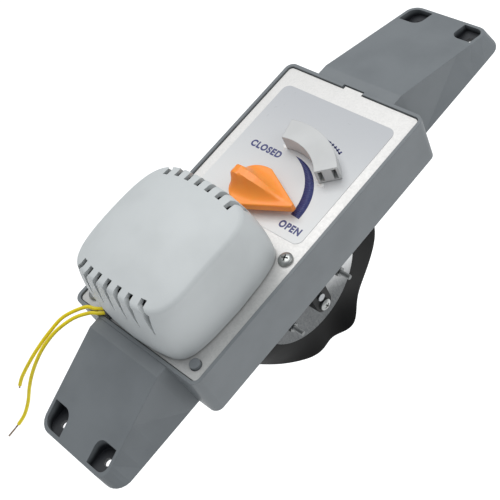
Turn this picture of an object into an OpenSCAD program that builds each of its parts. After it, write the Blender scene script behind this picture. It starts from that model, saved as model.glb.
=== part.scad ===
// Motor-driven round-duct zone damper: a moulded housing that screws flat on a duct,
// a dial with a pointer knob, a vented gear motor, and a sealed disc blade on one shaft.
// +Z points out of the dial, Y runs along the duct, the shaft turns about Z through 0,0.

/* [Housing] */
// Width of the tray across the duct
body_w = 100; // [92:1:124]
// Shaft axis to the motor end of the tray
body_near = 105; // [104:1:130]
// Shaft axis to the label end of the tray
body_far = 83; // [78:1:105]
// Height of the tray
body_h = 30.5; // [27:0.5:40]
// Thickness of the tray wall
wall_t = 2; // [1.6:0.1:2.2]
// Thickness of the floor
floor_t = 2.5; // [2:0.1:3.5]
// Radius of the upright tray corners
corner_r = 5; // [3:0.5:8]
// How far the cover plate lies below the rim
plate_recess = 1.1; // [0.8:0.1:1.5]

/* [Mounting wings] */
// Shaft axis to the tip of each wing
wing_reach = 167.5; // [158:0.5:205]
// Width of a wing along its top
wing_top_w = 56; // [52:1:68]
// Width of a wing where it meets the duct
wing_base_w = 72; // [66:1:84]
// Thickness of a wing at its tip
wing_tip_h = 6.4; // [6:0.1:10]
// Length of the level part of a wing beside the tray
wing_level = 7; // [4:1:12]
// Side of the square screw well
well_w = 14; // [12:0.5:16]
// Radius of the two round corners of a well
well_r = 5.5; // [3:0.5:6]
// Gap between the middle line and a well
well_in = 12; // [10:0.5:14]
// Diameter of a duct screw hole
screw_hole_d = 4.6; // [4:0.1:5.5]

/* [Cover plate and dial] */
// Thickness of the steel cover plate
plate_t = 1.2; // [0.8:0.01:1.6]
// Gap between the plate and the tray wall
plate_gap = 0.5; // [0.3:0.1:0.8]
// Thickness of the printed label
label_t = 0.25; // [0.15:0.05:0.4]
// Head diameter of a plate screw
screw_head_d = 8.3; // [7:0.1:9]
// Distance of the plate fixings from the plate's edges
fixing_inset = 9.5; // [9:0.1:12]

/* [Knob and stop] */
// Length of the pointer from the shaft axis
pointer_l = 27; // [24:0.5:31]
// Radius of the round back of the knob
knob_r = 16.3; // [14:0.1:16.8]
// Half width of the knob across its flats
knob_half = 13.4; // [11:0.1:14]
// Height of the knob's flange above the label
knob_lift = 3.9; // [3:0.1:6]
// Thickness of the knob's flange
knob_t = 4.4; // [3:0.1:6]
// Height of the grip above the flange
grip_h = 9.8; // [7:0.1:12]
// Inner radius of the position stop
stop_r_in = 32.8; // [32:0.1:34]
// Outer radius of the position stop
stop_r_out = 45.6; // [44:0.1:46]
// Height of the position stop
stop_h = 9.8; // [6:0.1:14]
// Start angle of the position stop
stop_a0 = 41; // [38:1:44]
// Arc that the position stop covers
stop_arc = 63; // [60:1:66]
// Travel of the stop each way
stop_travel = 20; // [10:1:20]

/* [Motor] */
// Half width of the motor cover at its foot, across
cover_a = 39.8; // [36:0.1:42]
// Half width of the motor cover at its foot, along
cover_b = 42.2; // [40:0.1:42.2]
// Height of the motor cover's crown above the plate
cover_h = 46.6; // [44:0.1:52]
// Wall of the motor cover
cover_t = 2; // [1.6:0.1:2.4]
// Middle of the motor cover behind the shaft axis
cover_y = -60.5; // [-64:0.1:-60.5]
// Number of vents at each end
vents = 7; // [4:1:8]
// Radius of the motor can
can_r = 25; // [20:0.5:26]
// Height of the motor can
can_h = 20; // [14:0.5:22]
// Height of the gear case
case_h = 12; // [9:0.5:13]

/* [Gears] */
// Tooth module
tooth_m = 1; // [0.9:0.01:1.05]
// Teeth on the full circle of the sector gear
gear_n = 60; // [56:2:60]
// Teeth on the output pinion
pinion_n = 16; // [14:2:16]
// Face width of the sector gear
gear_w = 5; // [4:0.5:6]
// Backlash at the pitch circle
backlash = 0.14; // [0.1:0.01:0.2]

/* [Shaft and blade] */
// Diameter of the damper shaft
shaft_d = 6.35; // [5.5:0.01:8]
// Running clearance on radius
running_gap = 0.05; // [0.02:0.01:0.08]
// Gap between the duct face and the rubber disc
blade_gap = 2.5; // [2:0.5:6]
// Radius of the rubber disc
seal_r = 62; // [54:0.1:76]
// Radius of the steel discs
disc_r = 42.5; // [38:0.5:46]
// Thickness of the rubber disc
seal_t = 1.6; // [1:0.1:3]
// Thickness of each steel disc
disc_t = 0.8; // [0.6:0.1:1.5]
// Half spacing of the blade studs across the blade
stud_y = 23.5; // [20:0.5:26]
// Half spacing of the blade studs along the shaft
stud_z = 18.6; // [15:0.1:20]
// Length of a stud in front of the blade
stud_l = 10.2; // [6:0.1:12]
// Width of the blade bar
bar_w = 13; // [12:0.5:16]
// Length of the blade bar
bar_l = 84.5; // [80:0.5:96]

/* [Leads] */
// Diameter of a lead over its insulation
lead_d = 2.1; // [1.6:0.1:2.6]
// Diameter of the bare strands
strand_d = 1.1; // [0.8:0.1:1.4]

/* [Hidden] */
eps = 0.02;
side_gap = 0.3;
$fn = 64;

grey = "#7a7f84";
zinc = "#d4d5d2";
cover_grey = "#c6caca";
orange = "#ff8a3c";
yellow = "#d8c828";

// Levels, counted up from the duct face.
plate_z = body_h - plate_recess;
plate_low = plate_z - plate_t;
label_z = plate_z + label_t;
knob_z = label_z + knob_lift;
knob_top = knob_z + knob_t;
shaft_r = shaft_d / 2;
bore_r = shaft_r + running_gap;

// Plate fixings: two screws and two moulded posts on a rectangle.
inner_w = body_w - 2 * wall_t;
fix_x = body_w / 2 - fixing_inset + 0.3;
fix_y0 = -body_near + fixing_inset;
fix_y1 = -24.8;
screw_at = [[fix_x, fix_y1], [-fix_x, fix_y0]];
post_at = [[fix_x, fix_y0], [-fix_x, fix_y1]];
boss_r = 4.6;
post_r = 3;
post_h = 2;
screw_r = 1.9;
screw_floor = 4;
tab_w = 13;
ledge_y = [-84, -42, 8, 58];
ledge_l = 16;
ledge_w = 3;

// Wings and their screw wells.
wing_wall = 2.4;
well_wall = 1.8;
well_rim = 2.2;
well_x = well_in + well_w / 2;
well_y = wing_reach - well_rim - well_w / 2;

// Label, inside the plate's edges.
label_x = body_w / 2 - 9;
label_y0 = -15.2;
label_y1 = body_far - 13.9;
label_r = 4.5;

// Gear train: the pinion stands on the line from the shaft to the motor.
pitch_r = tooth_m * gear_n / 2;
centre_d = pitch_r + tooth_m * pinion_n / 2;
gear_z = 18.5;
hub_r = 9;
hub_top = gear_z + gear_w + 1.5;
sector_a0 = 165;
sector_arc = 120;
post_ring = 20;
stop_post_r = 2.5;
pinion_shaft_r = 3;

// Bushes and spring.
bush_r = 6;
flange_r = 8;
flange_t = 1.2;
spring_wire = 1.2;
spring_r = 9.2;
spring_turns = 5;
spring_leg = 9;
anchor_r = 1.5;
spring_z = 6.2;
spring_top = gear_z - 1.2;

// Blade stack, set back from the axis so that the discs pass behind the shaft.
blade_drop = seal_r + blade_gap;
front_x = -shaft_r - 0.8;
seal_x = front_x - disc_t;
rear_x = seal_x - seal_t;
back_x = rear_x - disc_t;
bar_x = shaft_r + 0.8;
bar_end = -4 - bar_l;
shaft_end = bar_end + 20;
shaft_top = knob_top - 1;
rivet_z = bar_end + 14;
bar_screw_z = bar_end + 5.5;
stud_r = 1.75;
nut_r = 3.4;
nut_t = 2.2;
stud_at = [for (y = [-1, 1], z = [-1, 1]) [y * stud_y, z * stud_z - blade_drop]];

// Motor: the gear case stands on the plate under the cover, with its terminal block on one side.
motor_y = -62;
case_r = 27;
outlet_r = 11;
can_z = plate_z + case_h;
ear_x = 31;
ear_r = 5;
ear_h = 3;
motor_screw_r = 1.5;
block_a = 235;
block_l = 3;

// Motor cover: squareness of its outline, crown, draft and vents.
square_n = 3.6;
crown_x = 6.5;
crown_y = 3.5;
draft_x = 2.4;
draft_y = 4.4;
cover_round = 3;
vent_pitch = 8.7;
vent_w = 2.8;
vent_drop = 18;
outlet_x = -24.9;
outlet_w = 9;
outlet_h = 4.6;

// Stop clip: two legs reach through an arc slot to a keeper under the plate.
leg_r = 1.7;
leg_ring = 39.3;
leg_a = [66, 79];
slot_half = leg_r + side_gap;
keeper_t = 1;
keeper_half = 3.4;
keeper_z = plate_low - side_gap - keeper_t;
stop_z = label_z + side_gap;

// Lead routes, points from the terminal block outwards.
route_1 = [[-18.5, -85.6, 34], [-20.4, -88.4, 33.7], [-23.2, -93, 32.7], [-26.2, -99, 31.9],
  [-31.4, -102.7, 32.3], [-37.4, -105.8, 33], [-45, -116.5, 32], [-48.3, -127.5, 28.5],
  [-51, -137, 24], [-54, -145, 18.5], [-57.5, -154, 11], [-58.5, -158.5, 6.5]];
route_2 = [[-15.9, -87.4, 34], [-17.8, -90.2, 33.7], [-20.6, -94.8, 32.7], [-24, -100.5, 31.9],
  [-28, -104, 32.3], [-32.4, -106.9, 32.8], [-38.6, -114, 32.4], [-43.8, -124, 30],
  [-47, -133, 26], [-49.5, -141, 20.5], [-52, -149.5, 12.5], [-53, -156, 5.5],
  [-53.6, -162.5, -2.5], [-54.6, -169, -8.5], [-56.6, -175, -12.5]];
tip_1 = [[-58.5, -158.5, 6.5], [-58.8, -159.6, 5]];
tip_2 = [[-56.6, -175, -12.5], [-58.3, -179.5, -14.8], [-60, -183.5, -17]];

// ---------- general shapes ----------

// Upright block with round corners, from low corner to high corner.
module round_block(lo, hi, r) {
  for (x = [lo[0] + r, hi[0] - r], y = [lo[1] + r, hi[1] - r])
    translate([x, y, lo[2]]) cylinder(r = r, h = hi[2] - lo[2]);
  translate([lo[0] + r, lo[1], lo[2]]) cube([hi[0] - lo[0] - 2 * r, hi[1] - lo[1], hi[2] - lo[2]]);
  translate([lo[0], lo[1] + r, lo[2]]) cube([hi[0] - lo[0], hi[1] - lo[1] - 2 * r, hi[2] - lo[2]]);
}

// Solid through rings of equal point count, closed by a cap at each end.
module skin(rings) {
  n = len(rings[0]);
  last = len(rings) - 1;
  sides = [for (k = [0:last - 1], i = [0:n - 1]) each [
    [k * n + i, k * n + (i + 1) % n, (k + 1) * n + (i + 1) % n],
    [k * n + i, (k + 1) * n + (i + 1) % n, (k + 1) * n + i]]];
  caps = [for (i = [1:n - 2]) each [[0, i + 1, i], [last * n, last * n + i, last * n + i + 1]]];
  polyhedron([for (ring = rings) each ring], concat(sides, caps));
}

// Ring sector between two radii, cut by an angle wedge.
module arc_block(r_in, r_out, a0, arc, z0, h) {
  far = 2 * r_out;
  intersection() {
    translate([0, 0, z0]) difference() {
      cylinder(r = r_out, h = h, $fn = 128);
      translate([0, 0, -1]) cylinder(r = r_in, h = h + 2, $fn = 128);
    }
    translate([0, 0, z0 - 1]) linear_extrude(h + 2) polygon([[0, 0],
      for (k = [0:6]) far * [cos(a0 + arc * k / 6), sin(a0 + arc * k / 6)]]);
  }
}

// Slot or bar along a ring, reaching half to each side of it and past each end angle.
module arc_slot(ring, half, a0, a1, z0, h) {
  past = half / ring * 180 / PI;
  arc_block(ring - half, ring + half, a0 - past, a1 - a0 + 2 * past, z0, h);
}

// Pan-head screw with a cross recess, its head seated at z = 0.
module pan_screw(head_d, shank_r, shank_l) {
  head_r = head_d / 2;
  head_h = head_d * 0.34;
  difference() {
    union() {
      intersection() {
        cylinder(r = head_r, h = head_h);
        translate([0, 0, head_h - head_r * 1.6]) sphere(r = head_r * 1.6);
      }
      translate([0, 0, -shank_l]) cylinder(r = shank_r, h = shank_l + eps);
    }
    for (a = [0, 90]) rotate([0, 0, a + 20])
      translate([-head_r * 0.48, -head_r * 0.11, head_h * 0.45])
        cube([head_r * 0.96, head_r * 0.22, head_h]);
  }
}

// ---------- housing ----------

// How far a round corner of radius r cuts in, at distance d before its end.
function corner_cut(r, d) = d >= r ? 0 : r - sqrt(r * r - (r - d) * (r - d));

// One wing beyond a tray end at y = start, thinner all round by inset, its foot at level low.
module wing(start, inset, low) {
  top_z = body_h - 0.7;
  tip = wing_reach - inset;
  slope = (top_z - wing_tip_h) / (wing_reach - start - wing_level);
  ys = concat([start - 1, start + wing_level], [for (d = [30, 18, 9, 6.5, 4, 2.2, 1, 0.3, 0]) tip - d]);
  skin([for (y = ys)
    let (d = tip - y,
      z = min(top_z, top_z - slope * (y - start - wing_level)) - inset,
      base = wing_base_w / 2 - inset - corner_cut(10, d),
      top = wing_top_w / 2 - inset - corner_cut(7, d))
    [[-base, y, low], [base, y, low], [top, y, z], [-top, y, z]]]);
}

// Well outline: a square whose inner and outermost corners are round.
module well(side, way, grow, z0, z1) {
  w = well_w + 2 * grow;
  r = well_r + grow;
  h = z1 - z0;
  mirror([side < 0 ? 1 : 0, 0, 0]) mirror([0, way < 0 ? 1 : 0, 0])
    translate([well_in - grow, wing_reach - well_rim - well_w - grow, z0]) {
      translate([r, 0, 0]) cube([w - r, w - r, h]);
      translate([0, r, 0]) cube([w - r, w - r, h]);
      for (c = [r, w - r]) translate([c, c, 0]) cylinder(r = r, h = h);
    }
}

module tray() {
  difference() {
    round_block([-body_w / 2, -body_near, 0], [body_w / 2, body_far, body_h], corner_r);
    round_block([-inner_w / 2, -body_near + wall_t, floor_t],
      [inner_w / 2, body_far - wall_t, body_h + 1], corner_r - wall_t);
  }
}

// Ledges under the plate along both long walls.
module ledges() {
  for (side = [-1, 1], y = ledge_y)
    translate([side > 0 ? inner_w / 2 - ledge_w : -inner_w / 2 - eps, y - ledge_l / 2, floor_t - eps])
      cube([ledge_w + eps, ledge_l, plate_low - floor_t + eps]);
}

// Four bosses under the plate, two of them with a post that keys into it.
module bosses() {
  for (side = [-1, 1], y = [fix_y0, fix_y1])
    translate([side * fix_x, y, floor_t - eps]) cylinder(r = boss_r, h = plate_low - floor_t + eps);
  for (p = post_at)
    translate([p[0], p[1], plate_low - eps]) cylinder(r = post_r, h = plate_t + post_h + eps);
}

// Two posts that stop the sector gear at the ends of its quarter turn, and the spring's anchor.
module stop_posts() {
  off = asin((stop_post_r + side_gap) / post_ring);
  for (a = [sector_a0 - off, sector_a0 + sector_arc + 90 - 360 + off])
    rotate([0, 0, a]) translate([post_ring, 0, floor_t - eps])
      cylinder(r = stop_post_r, h = gear_z + gear_w - floor_t);
  translate([spring_r + spring_wire / 2 + anchor_r - 0.1, -spring_leg + 2, floor_t - eps])
    cylinder(r = anchor_r, h = 2 * (spring_z - floor_t));
}

// Both wings, mirrored about the shaft axis, each from its own end of the tray.
module wing_pair(inset, low) {
  wing(body_far, inset, low);
  mirror([0, 1, 0]) wing(body_near, inset, low);
}

module housing() {
  color(grey) difference() {
    union() {
      tray();
      difference() {
        wing_pair(0, 0);
        difference() {
          wing_pair(wing_wall, -1);
          for (side = [-1, 1], way = [-1, 1]) well(side, way, well_wall, -2, body_h);
        }
        round_block([-inner_w / 2, -body_near + wall_t, -1],
          [inner_w / 2, body_far - wall_t, body_h + 1], corner_r - wall_t);
      }
      ledges();
      bosses();
      stop_posts();
    }
    for (side = [-1, 1], way = [-1, 1]) {
      well(side, way, 0, floor_t, body_h);
      translate([side * well_x, way * well_y, -1]) cylinder(d = screw_hole_d, h = floor_t + 2);
    }
    translate([-tab_w / 2 - 1, body_far - wall_t - 1, plate_low - side_gap])
      cube([tab_w + 2, wall_t + 1 + side_gap, body_h]);
    translate([0, 0, -1]) cylinder(r = bush_r, h = floor_t + 2);
    for (p = screw_at) translate([p[0], p[1], floor_t + screw_floor]) cylinder(r = screw_r, h = body_h);
  }
}

// ---------- cover plate and label ----------

module stop_slot(z0, h) {
  arc_slot(leg_ring, slot_half, leg_a[0] - stop_travel, leg_a[1] + stop_travel, z0, h);
}

module cover_plate() {
  half = inner_w / 2 - plate_gap;
  y1 = body_far - wall_t - plate_gap;
  cut = plate_t + 2;
  color(zinc) difference() {
    union() {
      round_block([-half, -body_near + wall_t + plate_gap, plate_low], [half, y1, plate_z],
        corner_r - wall_t - plate_gap);
      translate([-tab_w / 2, y1 - 1, plate_low]) cube([tab_w, body_far - plate_gap - y1 + 1, plate_t]);
    }
    translate([0, 0, plate_low - 1]) cylinder(r = bush_r, h = cut);
    translate([0, -centre_d, plate_low - 1]) cylinder(r = pinion_shaft_r + 1.5, h = cut);
    for (p = screw_at) translate([p[0], p[1], plate_low - 1]) cylinder(r = screw_r + side_gap, h = cut);
    for (p = post_at) translate([p[0], p[1], plate_low - 1]) cylinder(r = post_r + side_gap, h = cut);
    for (side = [-1, 1]) translate([side * ear_x, motor_y, plate_low - 1])
      cylinder(r = motor_screw_r, h = cut);
    stop_slot(plate_low - 1, cut);
  }
}

module dial_label() {
  color("#bcc6d2") difference() {
    round_block([-label_x, label_y0, plate_z], [label_x, label_y1, label_z], label_r);
    translate([0, 0, plate_z - 1]) cylinder(r = flange_r + 0.6, h = 3);
    stop_slot(plate_z - 1, 3);
  }
}

module plate_screw(k) {
  color("#9fa0a0") translate([screw_at[k][0], screw_at[k][1], plate_z])
    pan_screw(screw_head_d, screw_r, plate_z - floor_t - screw_floor - 2);
}

// ---------- knob and position stop ----------

// Outline of the knob's flange: a round back with flats that close to a blunt pointer.
function knob_outline() =
  let (a = asin(knob_half / knob_r) - 4)
  concat([[pointer_l, -1.2], [pointer_l, 1.2], [0, knob_half]],
    [for (k = [0:16]) let (t = 180 - a + 2 * a * k / 16) knob_r * [cos(t), sin(t)]],
    [[0, -knob_half]]);

// Sections of the grip: x, height share, half width at the foot, half width at the ridge.
function grip_sections() = [[-15, 0.5, 4.5, 2.6], [-12.6, 0.94, 6.4, 3], [-9, 1, 7, 2.8],
  [-3, 0.93, 7, 2.4], [4, 0.7, 6.2, 2], [11, 0.42, 4.8, 1.6], [18, 0.16, 3, 1.1], [24, 0.05, 1.6, 0.6]];

module knob() {
  skirt_z = label_z + 2 * side_gap;
  color(orange) difference() {
    union() {
      translate([0, 0, knob_z]) linear_extrude(knob_t) polygon(knob_outline());
      translate([0, 0, skirt_z]) cylinder(r = flange_r + 1, h = knob_z - skirt_z + eps);
      skin([for (g = grip_sections()) let (top = knob_top + g[1] * grip_h)
        [[g[0], -g[2], knob_top - 1], [g[0], -g[3], top], [g[0], g[3], top],
          [g[0], g[2], knob_top - 1]]]);
    }
    translate([0, 0, skirt_z - 1]) cylinder(r = shaft_r, h = shaft_top - skirt_z + 1);
    translate([0, 0, skirt_z - 1]) cylinder(r = flange_r - 0.5, h = 2);
  }
}

module stop_clip() {
  color("#cfd0cc") {
    difference() {
      arc_block(stop_r_in, stop_r_out, stop_a0, stop_arc, stop_z, stop_h);
      rotate([0, 0, stop_a0]) for (r = [stop_r_in + 1.4, stop_r_out - 3.8])
        translate([r, -1, stop_z + 1.1]) cube([2.4, 12, stop_h - 2.4]);
    }
    for (a = leg_a) rotate([0, 0, a]) translate([leg_ring, 0, keeper_z])
      cylinder(r = leg_r, h = stop_z - keeper_z + 1);
  }
}

module stop_keeper() {
  color("#8f9294") difference() {
    arc_slot(leg_ring, keeper_half, leg_a[0], leg_a[1], keeper_z, keeper_t);
    for (a = leg_a) rotate([0, 0, a]) translate([leg_ring, 0, keeper_z - 1])
      cylinder(r = leg_r, h = keeper_t + 2);
  }
}

// ---------- motor and its cover ----------

// Point of a rounded square with half widths a and b, at turn t.
function pillow(a, b, t) = [a * sign(cos(t)) * pow(abs(cos(t)), 2 / square_n),
  b * sign(sin(t)) * pow(abs(sin(t)), 2 / square_n)];

// Crown height above the plate at u, v, the place as shares of the half widths.
function crown(h, u, v) = h - crown_x * u * u - crown_y * v * v;

// Closed pillow, thinner all round by inset, its foot at level low.
module cover_form(inset, low) {
  steps = 48;
  a0 = cover_a - inset;
  b0 = cover_b - inset;
  a1 = a0 - draft_x;
  b1 = b0 - draft_y;
  h = cover_h - inset;
  // Rings over the shoulder: share of the top radius, share of the rounding climbed.
  tops = [[0.985, 0.7], [0.94, 1], [0.75, 1], [0.5, 1], [0.25, 1], [0.04, 1]];
  walls = [for (w = [0:0.25:1]) [for (k = [0:steps - 1])
    let (e = pillow(1, 1, -360 * k / steps), lean = w * w,
      top = crown(h, e[0], e[1]) - cover_round)
    [(a0 + (a1 - a0) * lean) * e[0], (b0 + (b1 - b0) * lean) * e[1], low + (top - low) * w]]];
  roof = [for (s = tops) [for (k = [0:steps - 1])
    let (e = pillow(1, 1, -360 * k / steps), u = s[0] * e[0], v = s[0] * e[1])
    [a1 * u, b1 * v, crown(h, u, v) - cover_round * (1 - s[1])]]];
  translate([0, cover_y, plate_z]) skin(concat(walls, roof));
}

module motor_cover() {
  color(cover_grey) difference() {
    cover_form(0, 0);
    cover_form(cover_t, -1);
    for (way = [-1, 1], k = [0:vents - 1]) {
      x = (k - (vents - 1) / 2) * vent_pitch;
      edge = pillow_y(x, cover_a - draft_x, cover_b - draft_y);
      translate([x - vent_w / 2, cover_y + way * (edge - 1.5) - 3.5, plate_z + cover_h - vent_drop])
        cube([vent_w, 7, vent_drop + 1]);
    }
    outlet(side_gap, 4);
    translate([17, cover_y - cover_b - 1, plate_z - 1]) cube([9, 9, 2.4]);
  }
}

// Half depth of a rounded square with half widths a and b, at distance x from its middle line.
function pillow_y(x, a, b) = b * pow(1 - pow(abs(x) / a, square_n), 1 / square_n);

// Block that stands in the cover's foot where the leads come out.
module outlet(grow, reach) {
  translate([outlet_x, cover_y - pillow_y(outlet_x, cover_a, cover_b) + cover_t / 2, plate_z - grow])
    rotate([0, 0, -23]) translate([-outlet_w / 2 - grow, -cover_t / 2 - grow - reach, 0])
      cube([outlet_w + 2 * grow, cover_t + 2 * grow + 2 * reach, outlet_h + 2 * grow]);
}

module lead_grommet() { color("#3a3c3e") outlet(0, 0.6); }

module gear_case() {
  color("#b9babb") difference() {
    union() {
      translate([0, motor_y, plate_z]) cylinder(r = case_r, h = case_h);
      translate([0, -centre_d, plate_z]) cylinder(r = outlet_r, h = case_h);
      translate([-ear_x, motor_y - ear_r, plate_z]) cube([2 * ear_x, 2 * ear_r, ear_h]);
      for (side = [-1, 1]) translate([side * ear_x, motor_y, plate_z]) cylinder(r = ear_r, h = ear_h);
      translate([0, motor_y, plate_z + 2]) rotate([0, 0, block_a - 5]) translate([case_r - 3, -4.5, 0])
        cube([block_l + 3, 9, 6]);
    }
    translate([0, -centre_d, plate_z - 1]) cylinder(r = pinion_shaft_r + running_gap, h = case_h - 2);
    for (side = [-1, 1]) translate([side * ear_x, motor_y, plate_z - 1])
      cylinder(r = motor_screw_r, h = ear_h + 2);
  }
}

module motor_can() {
  color("#c9cbcd") translate([0, motor_y, can_z]) {
    cylinder(r = can_r, h = can_h);
    cylinder(r = can_r + 1.5, h = 1.2);
    cylinder(r = 6, h = can_h + 2);
  }
}

module can_screw(side) {
  color("#9fa0a0") translate([side * ear_x, motor_y, plate_z + ear_h])
    pan_screw(6.5, motor_screw_r, ear_h + plate_t + 2);
}

// ---------- gears, shaft, bushes and spring ----------

// Involute function, in degrees.
function inv(a) = tan(a) * 180 / PI - a;

// Half angle of a tooth at radius r, for n teeth, thinned by the backlash.
function tooth_half(n, r) =
  let (rp = tooth_m * n / 2, rb = rp * cos(20), a = r > rb ? acos(rb / r) : 0)
  (PI * tooth_m / 2 - backlash / 2) / (2 * rp) * 180 / PI + inv(20) - inv(a);

// Outline of one tooth that points along turn, from root to tip and back.
function tooth(n, turn) =
  let (rp = tooth_m * n / 2, lo = rp - 1.25 * tooth_m, hi = rp + 0.92 * tooth_m,
    flank = [for (k = [0:5]) let (r = lo + (hi - lo) * k / 5) [r, tooth_half(n, r)]])
  concat([for (p = flank) p[0] * [cos(turn - p[1]), sin(turn - p[1])]],
    [for (k = [5:-1:0]) let (p = flank[k]) p[0] * [cos(turn + p[1]), sin(turn + p[1])]]);

module sector_gear() {
  step = 360 / gear_n;
  root = pitch_r - 1.25 * tooth_m;
  sector_a1 = sector_a0 + sector_arc;
  first = ceil((sector_a0 + 2 + 90) / step) * step - 90;
  count = floor((sector_a1 - 2 - first) / step);
  outline = concat([root * [cos(sector_a0), sin(sector_a0)]],
    [for (k = [0:count]) each tooth(gear_n, first + k * step)],
    [root * [cos(sector_a1), sin(sector_a1)]], [[0, 0]]);
  color("#e8e4d8") translate([0, 0, gear_z]) difference() {
    union() {
      linear_extrude(gear_w) polygon(outline);
      cylinder(r = hub_r, h = hub_top - gear_z);
    }
    translate([0, 0, -1]) cylinder(r = shaft_r, h = hub_top);
    for (a = [0.3, 0.7]) rotate([0, 0, sector_a0 + a * sector_arc])
      translate([(pitch_r + hub_r) / 2 - 1, 0, -1]) cylinder(r = (pitch_r - hub_r) / 4, h = gear_w + 2);
  }
}

module output_pinion() {
  step = 360 / pinion_n;
  color("#b8a070") translate([0, -centre_d, 0]) {
    translate([0, 0, gear_z - 1]) linear_extrude(gear_w + 2)
      polygon([for (k = [0:pinion_n - 1]) each tooth(pinion_n, 90 + (k + 0.5) * step)]);
    translate([0, 0, gear_z]) cylinder(r = pinion_shaft_r, h = plate_z + case_h - 3.4 - gear_z);
  }
}

// Torsion spring round the shaft, its fixed end straight against the anchor.
module return_spring() {
  per = 20;
  n = spring_turns * per;
  w = spring_wire / 2;
  rise = (spring_top - spring_z - spring_wire) / n;
  color("#8d8f90") {
    skin([for (k = [0:n]) let (t = 360 * k / per, z = spring_z + w + rise * k)
      [for (j = [0:7]) let (b = 45 * j, r = spring_r + w * cos(b))
        [r * cos(t), r * sin(t), z + w * sin(b)]]]);
    translate([spring_r, 0.2, spring_z + w]) rotate([90, 0, 0]) cylinder(r = w, h = spring_leg, $fn = 24);
  }
}

module damper_shaft() {
  color("#a9abad") translate([0, 0, shaft_end]) cylinder(r = shaft_r, h = shaft_top - shaft_end);
}

// Flanged bush from level low to level high, with its flange above or below.
module bush(low, high, flange_z) {
  color("#d8d2c0") difference() {
    union() {
      translate([0, 0, low]) cylinder(r = bush_r, h = high - low);
      translate([0, 0, flange_z]) cylinder(r = flange_r, h = flange_t);
    }
    translate([0, 0, low - 2]) cylinder(r = bore_r, h = high - low + 4);
  }
}

module retaining_ring() {
  color("#6f7173") difference() {
    translate([0, 0, floor_t + flange_t + 0.2]) cylinder(r = bush_r, h = 0.9);
    cylinder(r = shaft_r, h = gear_z);
  }
}

// ---------- blade ----------

// Upright disc that faces X, drilled for the studs, the rivet and the bar screw.
module blade_disc(r, x, t) {
  difference() {
    translate([x, 0, -blade_drop]) rotate([0, 90, 0]) cylinder(r = r, h = t, $fn = 128);
    blade_holes();
  }
}

module blade_holes() {
  for (p = concat(stud_at, [[0, rivet_z], [0, bar_screw_z]]))
    translate([back_x - 2, p[0], p[1]]) rotate([0, 90, 0]) cylinder(r = stud_r, h = bar_x - back_x + 4);
}

module blade_bar() {
  depth = bar_x - front_x;
  color("#26272a") difference() {
    union() {
      translate([front_x, -bar_w / 2, bar_end + bar_w / 2]) cube([depth, bar_w, bar_l - bar_w / 2]);
      translate([front_x, 0, bar_end + bar_w / 2]) rotate([0, 90, 0]) cylinder(d = bar_w, h = depth);
    }
    translate([0, 0, shaft_end]) cylinder(r = shaft_r, h = -shaft_end);
    blade_holes();
  }
}

// Threaded stud through the discs, with a nut on each side.
module stud(k) {
  color("#9a9c9e") translate([0, stud_at[k][0], stud_at[k][1]]) rotate([0, 90, 0]) {
    translate([0, 0, back_x - nut_t - 0.6])
      cylinder(r = stud_r, h = front_x + stud_l - back_x + nut_t + 0.6);
    translate([0, 0, front_x]) cylinder(r = nut_r, h = nut_t, $fn = 6);
    translate([0, 0, back_x - nut_t]) cylinder(r = nut_r, h = nut_t, $fn = 6);
  }
}

module bar_screw() {
  color("#9fa0a0") translate([bar_x, 0, bar_screw_z]) rotate([0, 90, 0])
    pan_screw(8, stud_r, bar_x - back_x + 2);
}

module bar_rivet() {
  color("#8f9294") translate([0, 0, rivet_z]) rotate([0, 90, 0]) {
    translate([0, 0, back_x - 0.8]) cylinder(r = stud_r, h = bar_x - back_x + 1.8);
    translate([0, 0, bar_x]) cylinder(r = 2.6, h = 1);
    translate([0, 0, back_x - 0.8]) cylinder(r = 2.6, h = 0.8);
  }
}

// ---------- leads ----------

function unit(v) = v / norm(v);

// Direction of a route at point k.
function along(p, k) = unit(p[min(k + 1, len(p) - 1)] - p[max(k - 1, 0)]);

// The chosen points and one between each two, on a smooth curve through them.
function smooth(p) = concat([for (k = [0:len(p) - 2])
  let (a = p[max(k - 1, 0)], b = p[k], c = p[k + 1], d = p[min(k + 2, len(p) - 1)])
  each [b, (9 * (b + c) - a - d) / 16]], [p[len(p) - 1]]);

// Round tube of diameter d along a route.
module tube(route, d) {
  p = smooth(route);
  skin([for (k = [0:len(p) - 1])
    let (w = along(p, k), u = unit(cross(w, [0.3, 0.2, 1])), v = cross(u, w))
    [for (j = [0:7]) p[k] + d / 2 * (cos(45 * j) * u + sin(45 * j) * v)]]);
}

module lead(route) { color(yellow) tube(route, lead_d); }

module lead_tip(route) { color("#c79a6a") tube(route, strand_d); }

housing();
cover_plate();
dial_label();
knob();
stop_clip();
stop_keeper();
motor_cover();
gear_case();
motor_can();
can_screw(-1);  // can_screw_1
can_screw(1);  // can_screw_2
output_pinion();
sector_gear();
return_spring();
damper_shaft();
bush(0, floor_t + flange_t, floor_t);  // lower_bush
bush(plate_low - flange_t, plate_z + 0.6, plate_low - flange_t);  // upper_bush
retaining_ring();
blade_bar();
color(zinc) blade_disc(disc_r, seal_x, disc_t);  // front_disc
color(zinc) blade_disc(disc_r, back_x, disc_t);  // rear_disc
color("#2b2b2a") blade_disc(seal_r, rear_x, seal_t);  // rubber_seal
stud(0);  // stud_1
stud(1);  // stud_2
stud(2);  // stud_3
stud(3);  // stud_4
bar_screw();
bar_rivet();
plate_screw(0);  // plate_screw_1
plate_screw(1);  // plate_screw_2
lead_grommet();
lead(route_1);  // lead_1
lead(route_2);  // lead_2
lead_tip(tip_1);  // lead_tip_1
lead_tip(tip_2);  // lead_tip_2
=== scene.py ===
"""Motor-driven round-duct zone damper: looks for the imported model, in metres, in its own frame.

+Z points out of the dial, +Y runs along the duct away from the motor, the shaft stands on 0, 0.
"""
from math import cos, pi, radians, sin

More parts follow.
